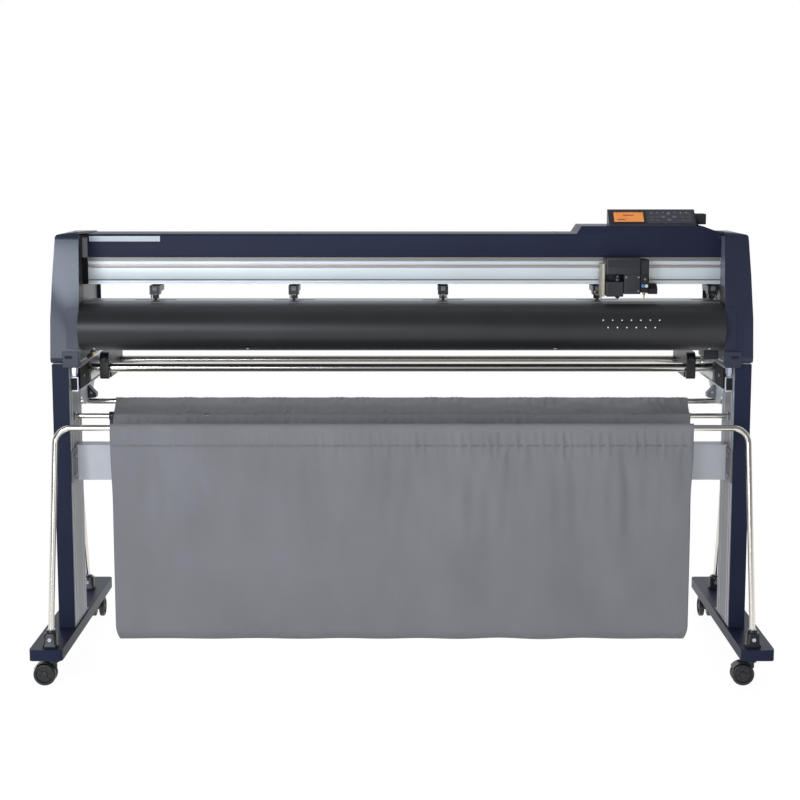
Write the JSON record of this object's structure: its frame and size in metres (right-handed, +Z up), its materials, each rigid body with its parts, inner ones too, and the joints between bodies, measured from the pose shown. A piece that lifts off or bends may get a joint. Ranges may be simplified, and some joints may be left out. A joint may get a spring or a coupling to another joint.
{
  "type": "vinyl cutting plotter",
  "caption": "Wide-format vinyl cutter on a wheeled stand, with a sliding knife carriage, pinch rollers, tilted control panel and a cloth media basket below.",
  "frame": {"origin": "on the floor, midway between the two feet across and front to back", "axes": "+X across the machine towards the control panel, -Y at the front where media comes out, +Z up"},
  "size_m": [1.962, 0.8, 1.2514],
  "materials": {
    "navy_paint": "satin powder coat",
    "navy_plastic": "fine moulded texture",
    "grey_paint": "satin paint",
    "pale_paint": "satin paint",
    "black_plastic": "moulded",
    "black_cover": "satin black",
    "charcoal_plastic": "fine moulded texture",
    "aluminium": "anodised extrusion",
    "stainless_steel": "polished tube",
    "bright_steel": "ground",
    "grit_steel": "fine grit surface on the drums",
    "pinch_rubber": "matt",
    "wheel_nylon": "moulded nylon",
    "basket_fabric": "plain woven",
    "lcd_orange": "lit display window",
    "key_plastic": "soft touch",
    "holder_metal": "anodised"
  },
  "bodies": {
    "frame": {"left_foot": "navy_paint", "right_foot": "navy_paint", "left_column_cover": "navy_paint", "right_column_cover": "navy_paint", "top_cover": "navy_paint", "left_side_cover": "navy_plastic", "right_side_cover": "navy_plastic", "left_column": "grey_paint", "right_column": "grey_paint", "chassis": "grey_paint", "cross_beam": "pale_paint", "left_stock_bracket": "pale_paint", "right_stock_bracket": "pale_paint", "front_left_pipe_socket": "black_plastic", "front_right_pipe_socket": "black_plastic", "rear_left_pipe_socket": "black_plastic", "rear_right_pipe_socket": "black_plastic", "front_cover": "black_cover", "platen": "black_cover", "control_panel": "charcoal_plastic", "carriage_rail": "aluminium", "basket_front_pipe": "stainless_steel", "basket_rear_pipe": "stainless_steel", "basket_mid_rod": "stainless_steel", "carriage_motor": "bright_steel", "drive_belt": "pinch_rubber", "basket_cloth": "basket_fabric", "lcd_window": "lcd_orange"},
    "fork_front_left": {"caster_fork_front_left": "black_plastic"},
    "wheels_front_left": {"caster_wheels_front_left": "wheel_nylon"},
    "fork_front_right": {"caster_fork_front_right": "black_plastic"},
    "wheels_front_right": {"caster_wheels_front_right": "wheel_nylon"},
    "fork_rear_left": {"caster_fork_rear_left": "black_plastic"},
    "wheels_rear_left": {"caster_wheels_rear_left": "wheel_nylon"},
    "fork_rear_right": {"caster_fork_rear_right": "black_plastic"},
    "wheels_rear_right": {"caster_wheels_rear_right": "wheel_nylon"},
    "grit_shaft": {"grit_shaft": "grit_steel"},
    "lift_shaft": {"pinch_lift_shaft": "bright_steel"},
    "holder_1": {"pinch_holder_1": "black_plastic"},
    "roller_1": {"pinch_wheel_1": "pinch_rubber"},
    "holder_2": {"pinch_holder_2": "black_plastic"},
    "roller_2": {"pinch_wheel_2": "pinch_rubber"},
    "holder_3": {"pinch_holder_3": "black_plastic"},
    "roller_3": {"pinch_wheel_3": "pinch_rubber"},
    "holder_4": {"pinch_holder_4": "black_plastic"},
    "roller_4": {"pinch_wheel_4": "pinch_rubber"},
    "holder_5": {"pinch_holder_5": "black_plastic"},
    "roller_5": {"pinch_wheel_5": "pinch_rubber"},
    "set_lever": {"set_lever": "black_plastic"},
    "carriage": {"carriage": "charcoal_plastic"},
    "tool_slide": {"tool_slide": "black_plastic", "blade_holder": "holder_metal"},
    "key_up": {"key_up": "key_plastic"},
    "key_down": {"key_down": "key_plastic"},
    "key_left": {"key_left": "key_plastic"},
    "key_right": {"key_right": "key_plastic"},
    "stock_shaft_front": {"stock_shaft_front": "stainless_steel"},
    "stock_shaft_rear": {"stock_shaft_rear": "stainless_steel"},
    "left_stopper": {"left_media_stopper": "black_plastic"},
    "right_stopper": {"right_media_stopper": "black_plastic"}
  },
  "joints": [
    {"name": "swivel_front_left", "type": "hinge", "parent": "frame", "child": "fork_front_left", "pos_m": [-0.93, -0.335, 0.0815], "axis": [0, 0, 1], "continuous": true},
    {"name": "roll_front_left", "type": "hinge", "parent": "fork_front_left", "child": "wheels_front_left", "pos_m": [-0.951, -0.335, 0.03], "axis": [0, 1, 0], "continuous": true},
    {"name": "swivel_front_right", "type": "hinge", "parent": "frame", "child": "fork_front_right", "pos_m": [0.93, -0.335, 0.0815], "axis": [0, 0, 1], "continuous": true},
    {"name": "roll_front_right", "type": "hinge", "parent": "fork_front_right", "child": "wheels_front_right", "pos_m": [0.909, -0.335, 0.03], "axis": [0, 1, 0], "continuous": true},
    {"name": "swivel_rear_left", "type": "hinge", "parent": "frame", "child": "fork_rear_left", "pos_m": [-0.93, 0.335, 0.0815], "axis": [0, 0, 1], "continuous": true},
    {"name": "roll_rear_left", "type": "hinge", "parent": "fork_rear_left", "child": "wheels_rear_left", "pos_m": [-0.93, 0.356, 0.03], "axis": [1, 0, 0], "continuous": true},
    {"name": "swivel_rear_right", "type": "hinge", "parent": "frame", "child": "fork_rear_right", "pos_m": [0.93, 0.335, 0.0815], "axis": [0, 0, 1], "continuous": true},
    {"name": "roll_rear_right", "type": "hinge", "parent": "fork_rear_right", "child": "wheels_rear_right", "pos_m": [0.93, 0.356, 0.03], "axis": [1, 0, 0], "continuous": true},
    {"name": "grit_spin", "type": "hinge", "parent": "frame", "child": "grit_shaft", "pos_m": [0, -0.03, 0.9919], "axis": [1, 0, 0], "continuous": true},
    {"name": "pinch_lift", "type": "hinge", "parent": "frame", "child": "lift_shaft", "pos_m": [0, 0.046, 1.056], "axis": [-1, 0, 0], "range_deg": [0, 2.2]},
    {"name": "holder_slide_1", "type": "slide", "parent": "lift_shaft", "child": "holder_1", "axis": [1, 0, 0], "range_m": [-0.05, 0.05]},
    {"name": "pinch_spin_1", "type": "hinge", "parent": "holder_1", "child": "roller_1", "pos_m": [-0.681, -0.03, 1.0107], "axis": [1, 0, 0], "continuous": true},
    {"name": "holder_slide_2", "type": "slide", "parent": "lift_shaft", "child": "holder_2", "axis": [1, 0, 0], "range_m": [-0.05, 0.05]},
    {"name": "pinch_spin_2", "type": "hinge", "parent": "holder_2", "child": "roller_2", "pos_m": [-0.298, -0.03, 1.0107], "axis": [1, 0, 0], "continuous": true},
    {"name": "holder_slide_3", "type": "slide", "parent": "lift_shaft", "child": "holder_3", "axis": [1, 0, 0], "range_m": [-0.05, 0.05]},
    {"name": "pinch_spin_3", "type": "hinge", "parent": "holder_3", "child": "roller_3", "pos_m": [0.114, -0.03, 1.0107], "axis": [1, 0, 0], "continuous": true},
    {"name": "holder_slide_4", "type": "slide", "parent": "lift_shaft", "child": "holder_4", "axis": [1, 0, 0], "range_m": [-0.05, 0.05]},
    {"name": "pinch_spin_4", "type": "hinge", "parent": "holder_4", "child": "roller_4", "pos_m": [0.54, -0.03, 1.0107], "axis": [1, 0, 0], "continuous": true},
    {"name": "holder_slide_5", "type": "slide", "parent": "lift_shaft", "child": "holder_5", "axis": [1, 0, 0], "range_m": [-0.05, 0.005]},
    {"name": "pinch_spin_5", "type": "hinge", "parent": "holder_5", "child": "roller_5", "pos_m": [0.8575, -0.03, 1.0107], "axis": [1, 0, 0], "continuous": true},
    {"name": "set_lever_turn", "type": "hinge", "parent": "frame", "child": "set_lever", "pos_m": [0.8245, 0.052, 1.2171], "axis": [-1, 0, 0], "range_deg": [0, 40]},
    {"name": "carriage_travel", "type": "slide", "parent": "frame", "child": "carriage", "axis": [1, 0, 0], "range_m": [-1.4, 0.165]},
    {"name": "tool_down", "type": "slide", "parent": "carriage", "child": "tool_slide", "axis": [0, 0, -1], "range_m": [0, 0.004], "stiffness_N_per_m": 400, "springref_m": -0.008},
    {"name": "press_up", "type": "slide", "parent": "frame", "child": "key_up", "axis": [0, 0.6428, -0.766], "range_m": [0, 0.0008], "stiffness_N_per_m": 500},
    {"name": "press_down", "type": "slide", "parent": "frame", "child": "key_down", "axis": [0, 0.6428, -0.766], "range_m": [0, 0.0008], "stiffness_N_per_m": 500},
    {"name": "press_left", "type": "slide", "parent": "frame", "child": "key_left", "axis": [0, 0.6428, -0.766], "range_m": [0, 0.0008], "stiffness_N_per_m": 500},
    {"name": "press_right", "type": "slide", "parent": "frame", "child": "key_right", "axis": [0, 0.6428, -0.766], "range_m": [0, 0.0008], "stiffness_N_per_m": 500},
    {"name": "stock_spin_front", "type": "hinge", "parent": "frame", "child": "stock_shaft_front", "pos_m": [0, 0.05, 0.805], "axis": [1, 0, 0], "continuous": true},
    {"name": "stock_spin_rear", "type": "hinge", "parent": "frame", "child": "stock_shaft_rear", "pos_m": [0, 0.24, 0.805], "axis": [1, 0, 0], "continuous": true},
    {"name": "left_stopper_slide", "type": "slide", "parent": "frame", "child": "left_stopper", "axis": [1, 0, 0], "range_m": [0, 0.75]},
    {"name": "right_stopper_slide", "type": "slide", "parent": "frame", "child": "right_stopper", "axis": [-1, 0, 0], "range_m": [0, 0.75]}
  ],
  "couplings": [
    {"joint": "pinch_lift", "follows": "set_lever_turn", "ratio": 0.055}
  ]
}
